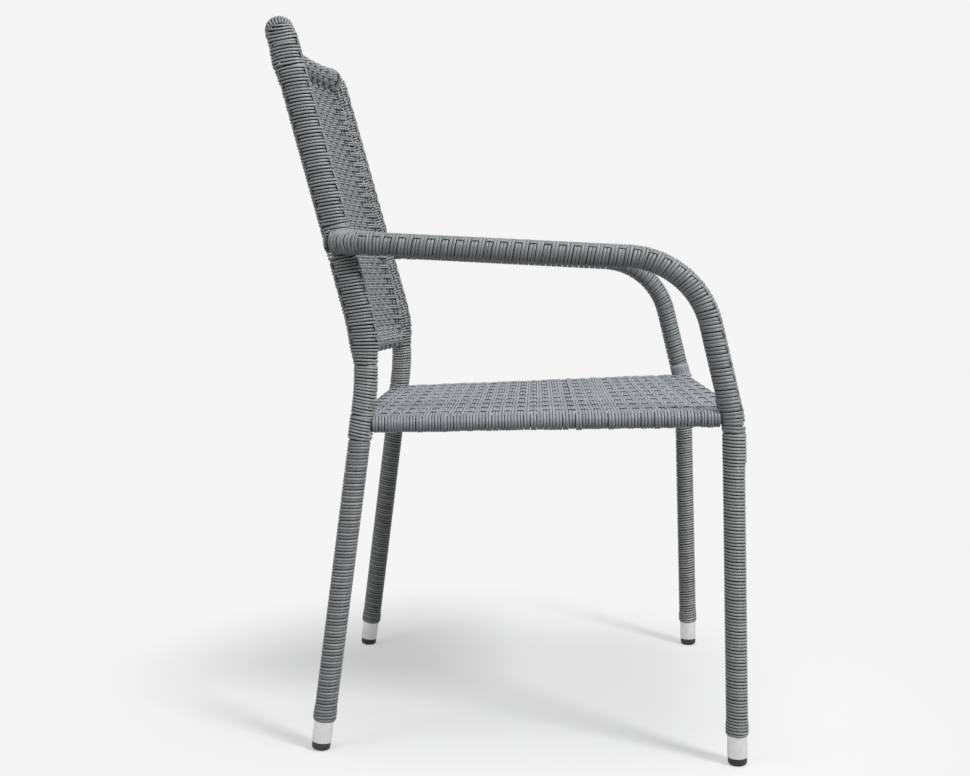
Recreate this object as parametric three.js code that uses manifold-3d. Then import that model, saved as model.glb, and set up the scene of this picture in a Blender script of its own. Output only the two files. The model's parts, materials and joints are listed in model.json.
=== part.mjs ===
// Stacking armchair for a bistro: a bent tube frame wound and woven with synthetic rattan strand.
// Millimetres, +Z up. The sitter faces -Y, +X is the sitter's left.
// The origin is on the floor, under the middle of the chair.
import * as THREE from 'three';
import { mergeVertices } from 'three/addons/utils/BufferGeometryUtils.js';
import Module from 'manifold-3d';

const wasm = await Module();
wasm.setup();

// Tubes and strand
const frameTubeDiameter = 22;
const frameTubeWall = 1.2;
const railTubeDiameter = 16;
const railTubeWall = 1.2;
const strandThickness = 2.1;
const seatingGap = 0.3;

// Seat
const seatFrontHeight = 424.8;
const seatRearDrop = 17.4;
const seatPlateThickness = 6;
const seatCollarHeight = 14;

// Front legs and arms
const frontFootSpread = 510;
const frontLegSplay = 7.7;
const frontLegSweep = 15.1;
const frontLegBendDrop = 4.8;
const frontLegBendRadius = 110;
const armSpread = 528;
const armAboveSeat = 185.2;
const armFrontSetback = 63;
const armBendRadius = 105;
const armRise = 20.8;
const armOverlap = 11;

// Rear legs and back
const rearFootSpread = 460.6;
const rearFootSetback = 514;
const postKneeSpread = 423.6;
const postTopSpread = 396;
const postKneeAboveSeat = 66.2;
const postKneeSetback = 452.6;
const postKneeRadius = 300;
const topRailAboveArm = 254.2;
const backRecline = 109.5;
const topCornerRadius = 18;
const backBow = 27;
const lowerRailAboveSeat = 67.2;

// Feet
const glideHeight = 9.5;
const glideFlangeInset = 0.6;
const glideEdgeRound = 4;
const glideFloorCut = 1.5;
const glideStemLength = 16;
const sleeveWall = 0.9;
const sleeveShownLength = 27.5;
const sleeveHiddenLength = 15;

// Extra radius of each winding over a single layer of strand
const armWindingSwell = 1.5;
const midPostWindingSwell = 1.8;
const panelPostSideSwell = 1.1;
const panelPostDepthSwell = 4.2;
const seatJointSwell = 2;
const armJointSwell = 2.2;
const railWindingLayers = 2;
const backWeaveLayers = 3;

// Where one winding hands over to the next
const armWindingDrop = 17.8;
const seatJointDrop = 19.4;
const seatJointRise = 10.6;
const midPostDrop = 12;
const armJointReach = 20;
const armJointLength = 66;
const armJointWall = 3.6;
const topWindingDrop = 43;

// Ribs: each stands for two pairs of strand, the unit that repeats. A long winding has wider ones.
const ribDepth = 1;
const mostRibs = 17;
const legRibPitch = 15.4;
const armRibPitch = 17.8;
const postRibPitch = 16.2;
const backRibPitch = 15.6;
const backRibDepth = 1.4;
const seatRibPitch = 15.5;
const seatHookSteps = 7;

// Facets
const ringSides = 10;
const glideEdgeSteps = 4;
const bendTolerance = 0.8;
const backColumns = 6;
const cutterOverrun = 60;

const seatRearHeight = seatFrontHeight - seatRearDrop;
const frontLegBendHeight = seatFrontHeight - frontLegBendDrop;
const armFrontHeight = seatFrontHeight + armAboveSeat;
const armHeight = armFrontHeight + armRise;
const postKneeHeight = seatFrontHeight + postKneeAboveSeat;
const topRailHeight = armHeight + topRailAboveArm;
const lowerRailHeight = seatFrontHeight + lowerRailAboveSeat;
const armWindingStart = seatFrontHeight - armWindingDrop;
const seatJointStart = seatRearHeight - seatJointDrop;
const seatJointEnd = seatRearHeight + seatJointRise;
const midPostEnd = lowerRailHeight - midPostDrop;
const topWindingStart = topRailHeight - topWindingDrop;

const frameTubeRadius = frameTubeDiameter / 2;
const railTubeRadius = railTubeDiameter / 2;
const frameBore = frameTubeRadius + seatingGap;
const railBore = railTubeRadius + seatingGap;
const windingRadius = frameBore + strandThickness;
const railWindingRadius = railBore + strandThickness;
const armWindingRadius = windingRadius + armWindingSwell;
const seatJointRadius = windingRadius + seatJointSwell;
const topWindingRadius = windingRadius + strandThickness;
const lowerRailWindingRadius = railBore + railWindingLayers * strandThickness;

const tubeFinish = new THREE.MeshStandardMaterial({ color: 0x5c5f60, roughness: 0.5, metalness: 0.6 });
const sleeveFinish = new THREE.MeshStandardMaterial({ color: 0xd2d3cf, roughness: 0.35, metalness: 0.8 });
const glideFinish = new THREE.MeshStandardMaterial({ color: 0x242424, roughness: 0.6, metalness: 0 });
const strandFinish = new THREE.MeshStandardMaterial({ color: 0x747a7a, roughness: 0.55, metalness: 0 });

const chair = new THREE.Group();

function addPiece(name, geometry, finish) {
  geometry.computeVertexNormals();
  const piece = new THREE.Mesh(geometry, finish);
  piece.name = name;
  chair.add(piece);
}

function toSolid(geometry) {
  const bare = geometry.clone();
  bare.deleteAttribute('normal');
  bare.deleteAttribute('uv');
  const merged = mergeVertices(bare);
  const vertProperties = new Float32Array(merged.attributes.position.array);
  const triVerts = new Uint32Array(merged.index.array);
  return new wasm.Manifold(new wasm.Mesh({ numProp: 3, vertProperties, triVerts }));
}

function toGeometry(solid) {
  const mesh = solid.getMesh();
  const geometry = new THREE.BufferGeometry();
  geometry.setAttribute('position', new THREE.BufferAttribute(mesh.vertProperties, 3));
  geometry.setIndex(new THREE.BufferAttribute(mesh.triVerts, 1));
  return geometry;
}

function joined(first, ...others) {
  return toGeometry(others.reduce((solid, other) => solid.add(toSolid(other)), toSolid(first)));
}

function cutBy(body, ...cutters) {
  return toGeometry(cutters.reduce((solid, cutter) => solid.subtract(toSolid(cutter)), toSolid(body)));
}

// The points of one bend: an arc of the bend radius that touches the run before it and the run after it.
function bendPoints(before, corner, after, radius) {
  const runIn = corner.clone().sub(before).normalize();
  const runOut = after.clone().sub(corner).normalize();
  const turn = runIn.angleTo(runOut);
  const start = corner.clone().addScaledVector(runIn, -radius * Math.tan(turn / 2));
  const inward = runOut.clone().addScaledVector(runIn, -runOut.dot(runIn)).normalize();
  const stepAngle = 2 * Math.acos(1 - bendTolerance / radius);
  const steps = Math.max(2, Math.ceil(turn / stepAngle));
  const points = [];
  for (let step = 0; step <= steps; step += 1) {
    const angle = (turn * step) / steps;
    const point = start.clone().addScaledVector(runIn, radius * Math.sin(angle));
    points.push(point.addScaledVector(inward, radius * (1 - Math.cos(angle))));
  }
  return points;
}

// The centre line of a bent tube: straight runs between corners, with a bend at each inner corner.
function bentPath(corners, radii) {
  const points = [corners[0]];
  for (let index = 1; index < corners.length - 1; index += 1) {
    points.push(...bendPoints(corners[index - 1], corners[index], corners[index + 1], radii[index - 1]));
  }
  points.push(corners[corners.length - 1]);
  return points;
}

function pathLengths(points) {
  const lengths = [0];
  for (let index = 1; index < points.length; index += 1) {
    lengths.push(lengths[index - 1] + points[index].distanceTo(points[index - 1]));
  }
  return lengths;
}

// The point at a length along a path, and the direction of the run that it lies on.
function stationAtLength(points, length) {
  const lengths = pathLengths(points);
  let index = 1;
  while (index < points.length - 1 && lengths[index] < length) {
    index += 1;
  }
  const share = (length - lengths[index - 1]) / (lengths[index] - lengths[index - 1]);
  return {
    point: points[index - 1].clone().lerp(points[index], share),
    along: points[index].clone().sub(points[index - 1]).normalize(),
  };
}

function pointAtLength(points, length) {
  return stationAtLength(points, length).point;
}

// A station for each point of a path, its direction halfway between the runs that meet there.
function stationsOf(points) {
  const runs = points.slice(1).map((point, index) => point.clone().sub(points[index]).normalize());
  return points.map((point, index) => {
    const runIn = runs[Math.max(index - 1, 0)];
    const runOut = runs[Math.min(index, runs.length - 1)];
    return { point, along: runIn.clone().add(runOut).normalize() };
  });
}

// The stretch of a path between two lengths along it, with every point of the path in between.
function pathStretch(points, from, to) {
  const lengths = pathLengths(points);
  const inner = points.filter((point, index) => lengths[index] > from && lengths[index] < to);
  return [pointAtLength(points, from), ...inner, pointAtLength(points, to)];
}

// The length along a rising path at which it reaches a height.
function lengthAtHeight(points, height) {
  const lengths = pathLengths(points);
  const index = points.findIndex((point) => point.z >= height);
  const below = points[index - 1];
  const share = (height - below.z) / (points[index].z - below.z);
  return lengths[index - 1] + share * (lengths[index] - lengths[index - 1]);
}

function stretchByHeight(points, low, high) {
  return pathStretch(points, lengthAtHeight(points, low), lengthAtHeight(points, high));
}

function longer(points, overrun) {
  const last = points.length - 1;
  const startRun = points[0].clone().sub(points[1]).normalize();
  const endRun = points[last].clone().sub(points[last - 1]).normalize();
  const start = points[0].clone().addScaledVector(startRun, overrun);
  const end = points[last].clone().addScaledVector(endRun, overrun);
  return [start, ...points.slice(1, last), end];
}

// One ring of points square to a path, wide across it and deep along the other way.
function ringPoints(centre, { across, deep }, halfWidth, halfDepth) {
  const ring = [];
  for (let side = 0; side < ringSides; side += 1) {
    const angle = (2 * Math.PI * side) / ringSides;
    const point = centre.clone().addScaledVector(across, halfWidth * Math.cos(angle));
    ring.push(point.addScaledVector(deep, halfDepth * Math.sin(angle)));
  }
  return ring;
}

// Directions square to the path at each station. They follow X or Y, whichever the path itself keeps
// away from, so that all the pieces on one tube have their facets in line.
function stationFrames(stations) {
  const points = stations.map(({ point }) => point);
  const spread = new THREE.Box3().setFromPoints(points).getSize(new THREE.Vector3());
  const squareTo = (axis, along) => axis.addScaledVector(along, -axis.dot(along)).normalize();
  return stations.map(({ along }) => {
    if (spread.x < spread.y) {
      const across = squareTo(new THREE.Vector3(1, 0, 0), along);
      return { across, deep: along.clone().cross(across) };
    }
    const deep = squareTo(new THREE.Vector3(0, 1, 0), along);
    return { across: deep.clone().cross(along), deep };
  });
}

function bandTriangles(indices, first, second, sides, outward) {
  for (let side = 0; side < sides; side += 1) {
    const next = (side + 1) % sides;
    const quad = [first + side, first + next, second + next, second + side];
    if (outward) {
      indices.push(quad[0], quad[1], quad[2], quad[0], quad[2], quad[3]);
    } else {
      indices.push(quad[0], quad[2], quad[1], quad[0], quad[3], quad[2]);
    }
  }
}

function meshGeometry(vertices, indices) {
  const geometry = new THREE.BufferGeometry();
  geometry.setAttribute('position', new THREE.Float32BufferAttribute(vertices, 3));
  geometry.setIndex(indices);
  return geometry;
}

// Rings of points at the stations. The layer gives half width and half depth by the length along them.
function layerVertices(stations, layer) {
  const lengths = pathLengths(stations.map(({ point }) => point));
  const frames = stationFrames(stations);
  return stations.flatMap(({ point }, index) => {
    const [halfWidth, halfDepth] = layer(lengths[index]);
    return ringPoints(point, frames[index], halfWidth, halfDepth).flatMap((corner) => corner.toArray());
  });
}

// A closed sleeve along a path, with a bore from end to end. The outer and inner layers can have rings
// at different stations, as long as both start and end together.
function sleeveAlong(outerStations, outerLayer, innerStations, innerLayer) {
  const outerVertices = layerVertices(outerStations, outerLayer);
  const vertices = [...outerVertices, ...layerVertices(innerStations, innerLayer)];
  const indices = [];
  const innerStart = outerStations.length * ringSides;
  for (let ring = 0; ring < outerStations.length - 1; ring += 1) {
    bandTriangles(indices, ring * ringSides, (ring + 1) * ringSides, ringSides, true);
  }
  for (let ring = 0; ring < innerStations.length - 1; ring += 1) {
    const start = innerStart + ring * ringSides;
    bandTriangles(indices, start, start + ringSides, ringSides, false);
  }
  const outerEnd = innerStart - ringSides;
  const innerEnd = innerStart + (innerStations.length - 1) * ringSides;
  bandTriangles(indices, innerStart, 0, ringSides, true);
  bandTriangles(indices, innerEnd, outerEnd, ringSides, false);
  return meshGeometry(vertices, indices);
}

// A solid bar through the stations, closed by a flat disc at each end.
function barThrough(stations, halfWidth, halfDepth = halfWidth) {
  const vertices = layerVertices(stations, () => [halfWidth, halfDepth]);
  const indices = [];
  for (let ring = 0; ring < stations.length - 1; ring += 1) {
    bandTriangles(indices, ring * ringSides, (ring + 1) * ringSides, ringSides, true);
  }
  const lastRing = (stations.length - 1) * ringSides;
  for (let side = 1; side < ringSides - 1; side += 1) {
    indices.push(0, side + 1, side, lastRing, lastRing + side, lastRing + side + 1);
  }
  return meshGeometry(vertices, indices);
}

function barAlong(points, halfWidth, halfDepth = halfWidth) {
  return barThrough(stationsOf(points), halfWidth, halfDepth);
}

function pipeAlong(points, radius, wall) {
  const stations = stationsOf(points);
  return sleeveAlong(stations, () => [radius, radius], stations, () => [radius - wall, radius - wall]);
}

// How far a ribbed skin lies below its crests: nothing at the middle of each rib, the depth at its ends.
function grooveAt(length, ribLength, depth) {
  return Math.round((2 * length) / ribLength) % 2 === 0 ? depth : 0;
}

// Stations at the start, the middle and the end of every rib, with whole ribs from end to end.
function ribStations(points, pitch) {
  const total = pathLengths(points).at(-1);
  const ribs = Math.min(mostRibs, Math.max(1, Math.round(total / pitch)));
  const ribLength = total / ribs;
  const places = Array.from({ length: 2 * ribs + 1 }, (_, step) => (step * ribLength) / 2);
  return { ribLength, stations: places.map((place) => stationAtLength(points, place)) };
}

// A wound layer of strand: a smooth bore, and outside one rib for each unit of turns.
function windingAlong(points, pitch, bore, halfWidth, halfDepth = halfWidth) {
  const { ribLength, stations } = ribStations(points, pitch);
  const outerLayer = (length) => {
    const groove = grooveAt(length, ribLength, ribDepth);
    return [halfWidth - groove, halfDepth - groove];
  };
  return sleeveAlong(stations, outerLayer, stationsOf(points), () => [bore, bore]);
}

// Centre lines. Side is -1 for the sitter's right and +1 for the left.
function sideFrameCorners(side) {
  const post = postPointAt(side, armHeight);
  const besidePost = post.x + side * (frameTubeDiameter + seatingGap);
  return [
    new THREE.Vector3((side * frontFootSpread) / 2, 0, 0),
    new THREE.Vector3(side * (frontFootSpread / 2 + frontLegSplay), frontLegSweep, frontLegBendHeight),
    new THREE.Vector3((side * armSpread) / 2, armFrontSetback, armFrontHeight),
    new THREE.Vector3(besidePost, post.y + armOverlap, armHeight),
  ];
}

function sideFramePath(side) {
  return bentPath(sideFrameCorners(side), [frontLegBendRadius, armBendRadius]);
}

function postCorners(side) {
  return [
    new THREE.Vector3((side * rearFootSpread) / 2, rearFootSetback, 0),
    new THREE.Vector3((side * postKneeSpread) / 2, postKneeSetback, postKneeHeight),
    new THREE.Vector3((side * postTopSpread) / 2, postKneeSetback + backRecline, topRailHeight),
  ];
}

function postPath(side) {
  return bentPath(postCorners(side), [postKneeRadius]);
}

function postPointAt(side, height) {
  const path = postPath(side);
  return pointAtLength(path, lengthAtHeight(path, height));
}

// The top rail bows backward. Its arc starts one corner radius in from each post, and its two end
// tangents meet behind the middle of the back.
function backFramePath() {
  const halfSpread = postTopSpread / 2;
  const endAngle = 2 * Math.atan(backBow / (halfSpread + topCornerRadius));
  const apexSetback = postKneeSetback + backRecline + halfSpread * Math.tan(endAngle);
  const arcRadius = (halfSpread / Math.cos(endAngle) - topCornerRadius) / Math.tan(endAngle);
  const apex = new THREE.Vector3(0, apexSetback, topRailHeight);
  const corners = [...postCorners(-1), apex, ...postCorners(1).reverse()];
  return bentPath(corners, [postKneeRadius, topCornerRadius, arcRadius, topCornerRadius, postKneeRadius]);
}

function bowedRailPath(height) {
  const end = postPointAt(1, height);
  const points = [];
  for (let step = 0; step <= backColumns; step += 1) {
    const share = (2 * step) / backColumns - 1;
    points.push(new THREE.Vector3(share * end.x, end.y + backBow * (1 - share * share), height));
  }
  return points;
}

// Seat rails run between the centre lines of the legs, at the seat's height there.
function seatCorners(side) {
  const front = sideFramePath(side);
  return {
    front: pointAtLength(front, lengthAtHeight(front, seatFrontHeight)),
    rear: postPointAt(side, seatRearHeight),
  };
}

function seatRailPaths() {
  const right = seatCorners(-1);
  const left = seatCorners(1);
  return {
    seat_front_rail: [right.front, left.front],
    seat_rear_rail: [right.rear, left.rear],
    seat_side_rail_right: [right.front, right.rear],
    seat_side_rail_left: [left.front, left.rear],
  };
}

const sides = { right: -1, left: 1 };
const frontPaths = { right: sideFramePath(sides.right), left: sideFramePath(sides.left) };
const postPaths = { right: postPath(sides.right), left: postPath(sides.left) };
const seatRails = seatRailPaths();
const backPath = backFramePath();
const lowerRailPath = bowedRailPath(lowerRailHeight);

const frameClearance = [
  barAlong(longer(frontPaths.right, cutterOverrun), frameBore),
  barAlong(longer(frontPaths.left, cutterOverrun), frameBore),
  barAlong(backPath, frameBore),
];
const sideRailClearance = [seatRails.seat_side_rail_right, seatRails.seat_side_rail_left].map(
  (path) => barAlong(path, railBore),
);
const crossRailClearance = [seatRails.seat_front_rail, seatRails.seat_rear_rail].map(
  (path) => barAlong(path, railBore),
);
const seatRailClearance = [...sideRailClearance, ...crossRailClearance];

function addFrameTubes() {
  const footEnd = glideHeight + seatingGap;
  const backLength = pathLengths(backPath).at(-1);
  const backTube = pathStretch(backPath, footEnd, backLength - footEnd);
  addPiece('back_frame_tube', pipeAlong(backTube, frameTubeRadius, frameTubeWall), tubeFinish);
  Object.keys(sides).forEach((name) => {
    const path = frontPaths[name];
    const tube = pathStretch(path, footEnd, pathLengths(path).at(-1));
    addPiece(`side_frame_tube_${name}`, pipeAlong(tube, frameTubeRadius, frameTubeWall), tubeFinish);
  });
}

function addRails() {
  Object.entries(seatRails).forEach(([name, path]) => {
    const rail = pipeAlong(path, railTubeRadius, railTubeWall);
    const neighbours = name.includes('side') ? frameClearance : [...frameClearance, ...sideRailClearance];
    addPiece(name, cutBy(rail, ...neighbours), tubeFinish);
  });
  const lowerRail = pipeAlong(lowerRailPath, railTubeRadius, railTubeWall);
  addPiece('back_lower_rail', cutBy(lowerRail, ...frameClearance), tubeFinish);
}

// The glide is turned round the leg's axis, longer than the leg needs, and cut level with the floor.
// Its stem clears the flats of the tube's bore.
function glideGeometry(foot, legDirection) {
  const stemRadius = (frameTubeRadius - frameTubeWall) * Math.cos(Math.PI / ringSides) - seatingGap;
  const flangeRadius = frameBore + sleeveWall - glideFlangeInset;
  const profile = [new THREE.Vector2(0, -glideFloorCut)];
  for (let step = 0; step <= glideEdgeSteps; step += 1) {
    const angle = (Math.PI * step) / (2 * glideEdgeSteps);
    const radius = flangeRadius - glideEdgeRound * (1 - Math.sin(angle));
    profile.push(new THREE.Vector2(radius, glideEdgeRound * (1 - Math.cos(angle)) - glideFloorCut));
  }
  profile.push(new THREE.Vector2(flangeRadius, glideHeight));
  profile.push(new THREE.Vector2(stemRadius, glideHeight));
  profile.push(new THREE.Vector2(stemRadius, glideHeight + glideStemLength));
  profile.push(new THREE.Vector2(0, glideHeight + glideStemLength));
  const turned = new THREE.LatheGeometry(profile, ringSides);
  const upright = new THREE.Vector3(0, 1, 0);
  turned.applyQuaternion(new THREE.Quaternion().setFromUnitVectors(upright, legDirection));
  turned.translate(foot.x, foot.y, foot.z);
  const belowFloor = new THREE.BoxGeometry(cutterOverrun, cutterOverrun, cutterOverrun);
  belowFloor.translate(foot.x, foot.y, -cutterOverrun / 2);
  return cutBy(turned, belowFloor);
}

function addFeet() {
  Object.keys(sides).forEach((name) => {
    Object.entries({ front: frontPaths[name], rear: postPaths[name] }).forEach(([end, path]) => {
      const legDirection = path[1].clone().sub(path[0]).normalize();
      addPiece(`foot_glide_${end}_${name}`, glideGeometry(path[0], legDirection), glideFinish);
      const sleeveStart = glideHeight + seatingGap;
      const sleeveEnd = glideHeight + sleeveShownLength + sleeveHiddenLength;
      const sleeve = pathStretch(path, sleeveStart, sleeveEnd);
      const sleeveRadius = frameBore + sleeveWall;
      addPiece(`foot_sleeve_${end}_${name}`, pipeAlong(sleeve, sleeveRadius, sleeveWall), sleeveFinish);
    });
  });
}

// A leg's winding starts over the foot sleeve, passes it with a swelling and climbs to the given height.
function legWinding(path, topHeight) {
  const start = glideHeight + sleeveShownLength;
  const swellingEnd = start + sleeveHiddenLength + seatingGap;
  const settled = swellingEnd + strandThickness;
  const end = lengthAtHeight(path, topHeight);
  const sleeveRise = sleeveWall + seatingGap;
  const innerPoints = [
    pointAtLength(path, start),
    pointAtLength(path, swellingEnd),
    ...pathStretch(path, settled, end),
  ];
  const innerLayer = (length) => {
    const rise = length + start <= swellingEnd + seatingGap ? sleeveRise : 0;
    return [frameBore + rise, frameBore + rise];
  };
  const { ribLength, stations } = ribStations(pathStretch(path, start, end), legRibPitch);
  const outerLayer = (length) => {
    const rise = length + start <= swellingEnd + ribLength / 2 ? sleeveRise : 0;
    const radius = windingRadius + rise - grooveAt(length, ribLength, ribDepth);
    return [radius, radius];
  };
  return sleeveAlong(stations, outerLayer, stationsOf(innerPoints), innerLayer);
}

function addLegWindings() {
  Object.keys(sides).forEach((name) => {
    const frontTop = armWindingStart - seatingGap;
    addPiece(`front_leg_winding_${name}`, legWinding(frontPaths[name], frontTop), strandFinish);
    const rearTop = seatJointStart - seatingGap;
    addPiece(`rear_leg_winding_${name}`, legWinding(postPaths[name], rearTop), strandFinish);
  });
}

// The arm's winding starts below the seat, lets two seat rails through and ends at the joint with the post.
function addArmWindings() {
  Object.keys(sides).forEach((name) => {
    const path = frontPaths[name];
    const start = lengthAtHeight(path, armWindingStart);
    const end = pathLengths(path).at(-1) - armJointLength - seatingGap;
    const winding = windingAlong(pathStretch(path, start, end), armRibPitch, frameBore, armWindingRadius);
    addPiece(`arm_winding_${name}`, cutBy(winding, ...seatRailClearance), strandFinish);
  });
}

function addPostWindings() {
  const panelHalfWidth = windingRadius + panelPostSideSwell;
  const panelHalfDepth = windingRadius + panelPostDepthSwell;
  const midRadius = windingRadius + midPostWindingSwell;
  const lowerEnd = armHeight - armJointReach - seatingGap;
  const upperStart = armHeight + armJointReach + seatingGap;
  const lowerRailCutter = barAlong(lowerRailPath, railBore);
  Object.keys(sides).forEach((name) => {
    const path = postPaths[name];
    const joint = stretchByHeight(path, seatJointStart, seatJointEnd);
    const jointWinding = windingAlong(joint, postRibPitch, frameBore, seatJointRadius);
    addPiece(`seat_joint_winding_${name}`, cutBy(jointWinding, ...seatRailClearance), strandFinish);
    const middle = stretchByHeight(path, seatJointEnd + seatingGap, midPostEnd);
    const middleWinding = windingAlong(middle, legRibPitch, frameBore, midRadius);
    addPiece(`mid_post_winding_${name}`, middleWinding, strandFinish);
    const lower = stretchByHeight(path, midPostEnd + seatingGap, lowerEnd);
    const lowerWinding = windingAlong(lower, postRibPitch, frameBore, panelHalfWidth, panelHalfDepth);
    addPiece(`lower_post_winding_${name}`, cutBy(lowerWinding, lowerRailCutter), strandFinish);
    const upper = stretchByHeight(path, upperStart, topWindingStart - seatingGap);
    const upperWinding = windingAlong(upper, postRibPitch, frameBore, panelHalfWidth, panelHalfDepth);
    addPiece(`upper_post_winding_${name}`, upperWinding, strandFinish);
  });
}

// Crossed turns round the post and the end of the arm that is welded to its outer side.
function addArmJointWindings() {
  const jointRadius = windingRadius + armJointSwell;
  const postHalfWidth = windingRadius + panelPostSideSwell;
  const postHalfDepth = windingRadius + panelPostDepthSwell;
  Object.keys(sides).forEach((name) => {
    const post = stretchByHeight(postPaths[name], armHeight - armJointReach, armHeight + armJointReach);
    const postTurns = barAlong(post, postHalfWidth, postHalfDepth);
    const path = frontPaths[name];
    const length = pathLengths(path).at(-1);
    const arm = pathStretch(path, length - armJointLength, length);
    const armTurns = barAlong([arm[0], pointPast(arm, armJointWall)], jointRadius);
    const armTube = barAlong([path.at(-2), pointPast(arm, seatingGap)], frameBore);
    const joint = cutBy(joined(postTurns, armTurns), armTube, frameClearance[2]);
    addPiece(`arm_joint_winding_${name}`, joint, strandFinish);
  });
}

// The point a given way past the end of a path, straight on.
function pointPast(points, distance) {
  const endRun = points.at(-1).clone().sub(points.at(-2)).normalize();
  return points.at(-1).clone().addScaledVector(endRun, distance);
}

// The stretch of the back tube that the top winding covers: both corners and the rail between them.
function topWindingPath() {
  const rightStart = lengthAtHeight(backPath, topWindingStart);
  const backLength = pathLengths(backPath).at(-1);
  return pathStretch(backPath, rightStart, backLength - rightStart);
}

function addRailWindings() {
  const top = windingAlong(topWindingPath(), postRibPitch, frameBore, topWindingRadius);
  addPiece('top_rail_winding', top, strandFinish);
  const lower = pipeAlong(lowerRailPath, lowerRailWindingRadius, lowerRailWindingRadius - railBore);
  addPiece('lower_rail_winding', cutBy(lower, ...postWindingCutters()), strandFinish);
}

// Solid bars a gap larger than the windings on the posts, for cutting what meets them.
function postWindingCutters() {
  return Object.keys(sides).map((name) => barAlong(
    postPaths[name],
    windingRadius + panelPostSideSwell + seatingGap,
    windingRadius + panelPostDepthSwell + seatingGap,
  ));
}

// The back's weave is a bowed sheet between the posts, ribbed on both faces where its rows run. Each
// ring of points is its outline at one height, as wide there as the posts leave room for.
function bowedSheet(postClearance, crestHalfThickness) {
  const vertices = [];
  const indices = [];
  const ringSize = 2 * (backColumns + 1);
  const sheetHeight = topRailHeight - lowerRailHeight;
  const backRows = 2 * Math.round(sheetHeight / backRibPitch);
  for (let row = 0; row <= backRows; row += 1) {
    const height = lowerRailHeight + (sheetHeight * row) / backRows;
    const halfThickness = crestHalfThickness - (row % 2 === 0 ? backRibDepth : 0);
    const post = postPointAt(sides.left, height);
    for (let corner = 0; corner < ringSize; corner += 1) {
      const front = corner <= backColumns;
      const column = front ? corner : ringSize - 1 - corner;
      const share = (2 * column) / backColumns - 1;
      const sheetSetback = post.y + backBow * (1 - share * share);
      const offset = front ? -halfThickness : halfThickness;
      vertices.push(share * (post.x - postClearance), sheetSetback + offset, height);
    }
  }
  for (let row = 0; row < backRows; row += 1) {
    bandTriangles(indices, row * ringSize, (row + 1) * ringSize, ringSize, true);
  }
  const lastRing = backRows * ringSize;
  for (let column = 0; column < backColumns; column += 1) {
    const back = ringSize - 1 - column;
    indices.push(column, back - 1, column + 1, column, back, back - 1);
    indices.push(lastRing + column, lastRing + column + 1, lastRing + back - 1);
    indices.push(lastRing + column, lastRing + back - 1, lastRing + back);
  }
  return meshGeometry(vertices, indices);
}

function addBackWeave() {
  const postClearance = windingRadius + panelPostSideSwell + seatingGap;
  const sheet = bowedSheet(postClearance, (backWeaveLayers * strandThickness) / 2);
  const { stations } = ribStations(topWindingPath(), postRibPitch);
  const topRail = barThrough(stations, topWindingRadius + seatingGap);
  const lowerRail = barAlong(lowerRailPath, lowerRailWindingRadius + seatingGap);
  addPiece('back_weave', cutBy(sheet, topRail, lowerRail, ...postWindingCutters()), strandFinish);
}

// A flat block under the plane through the tops of the seat rails' windings, lifted by the clearance.
function blockUnderSeat(clearance) {
  const { front, rear } = seatCorners(sides.left);
  const alongSeat = new THREE.Vector3(0, rear.y - front.y, rear.z - front.z);
  const depth = alongSeat.length();
  const width = frontFootSpread + cutterOverrun;
  const block = new THREE.BoxGeometry(width, depth + cutterOverrun, cutterOverrun);
  block.translate(0, 0, railWindingRadius + clearance - cutterOverrun / 2);
  block.rotateX(Math.atan2(alongSeat.z, alongSeat.y));
  block.translate(0, (front.y + rear.y) / 2, (front.z + rear.z) / 2);
  return block;
}

// The outline of the seat's weave from side to side, seen from the front: flat on top, hooked round
// each side rail, and flat underneath. Each point is a place across the seat and a lift off its plane.
function seatOutline(railDistance, crest) {
  const hookEnd = Math.asin((crest - seatPlateThickness) / crest);
  const hookTurn = (3 * Math.PI) / 2 + hookEnd;
  const right = [];
  for (let step = 0; step <= seatHookSteps; step += 1) {
    const angle = Math.PI / 2 - (hookTurn * step) / seatHookSteps;
    right.push([railDistance + crest * Math.cos(angle), crest * Math.sin(angle)]);
  }
  const left = right.map(([across, lift]) => [-across, lift]).reverse();
  return [...right, ...left];
}

// The seat's weave from the front rail to the rear rail, with a rib for each unit of its rows.
function seatSheet() {
  const { front, rear } = seatCorners(sides.left);
  const alongSeat = new THREE.Vector3(0, rear.y - front.y, rear.z - front.z);
  const depth = alongSeat.length();
  const backWay = alongSeat.clone().normalize();
  const up = new THREE.Vector3(1, 0, 0).cross(backWay);
  const ribs = Math.round(depth / seatRibPitch);
  const vertices = [];
  const indices = [];
  const ringSize = 2 * (seatHookSteps + 1);
  for (let row = 0; row <= 2 * ribs; row += 1) {
    const share = row / (2 * ribs);
    const crest = railWindingRadius - (row % 2 === 0 ? ribDepth : 0);
    seatOutline(front.x + (rear.x - front.x) * share, crest).forEach(([across, lift]) => {
      const point = new THREE.Vector3(across, front.y, front.z).addScaledVector(backWay, depth * share);
      vertices.push(...point.addScaledVector(up, lift).toArray());
    });
    if (row > 0) {
      bandTriangles(indices, (row - 1) * ringSize, row * ringSize, ringSize, true);
    }
  }
  const outline = seatOutline(front.x, railWindingRadius);
  const flatOutline = outline.map(([across, lift]) => new THREE.Vector2(across, lift));
  const lastRing = 2 * ribs * ringSize;
  THREE.ShapeUtils.triangulateShape(flatOutline, []).forEach(([first, second, third]) => {
    indices.push(first, second, third, lastRing + first, lastRing + third, lastRing + second);
  });
  return meshGeometry(vertices, indices);
}

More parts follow.
